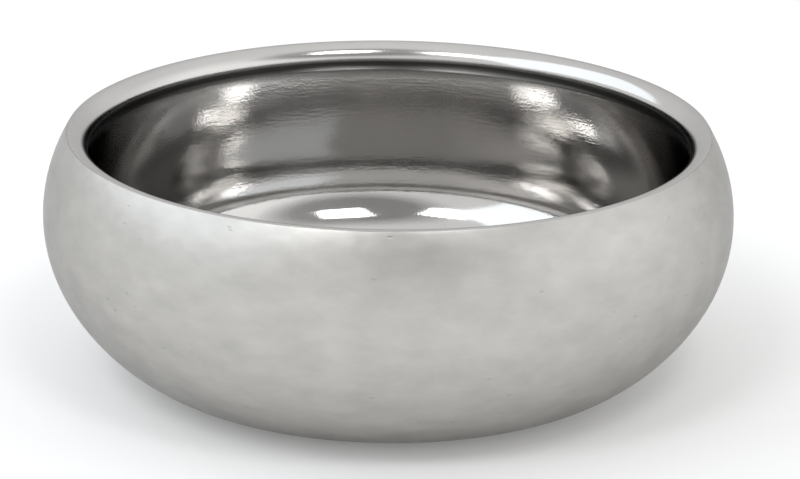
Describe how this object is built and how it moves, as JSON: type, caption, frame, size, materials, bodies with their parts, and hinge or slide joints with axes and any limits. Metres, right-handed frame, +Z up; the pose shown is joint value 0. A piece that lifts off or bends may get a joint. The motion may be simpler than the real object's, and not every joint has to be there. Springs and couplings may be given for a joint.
{
  "type": "pet food bowl",
  "caption": "Low belly-shaped double-wall steel bowl with a rolled lip, straight inner wall, flat floor and a rubber ring under its foot, for cat food or water.",
  "frame": {"origin": "centre of the underside of the rubber ring, on the surface that the bowl stands on", "axes": "+Z up along the bowl's axis of revolution; X and Y lie in the table's plane and are alike"},
  "size_m": [0.14, 0.14, 0.0502],
  "materials": {
    "liner_steel": "polished stainless steel with fine rubbing marks",
    "shell_steel": "satin-polished stainless steel with soft mottling",
    "ring_rubber": "matt black moulded rubber"
  },
  "bodies": {
    "root": {"inner_bowl": "liner_steel", "outer_shell": "shell_steel", "non_slip_ring": "ring_rubber"}
  },
  "joints": []
}
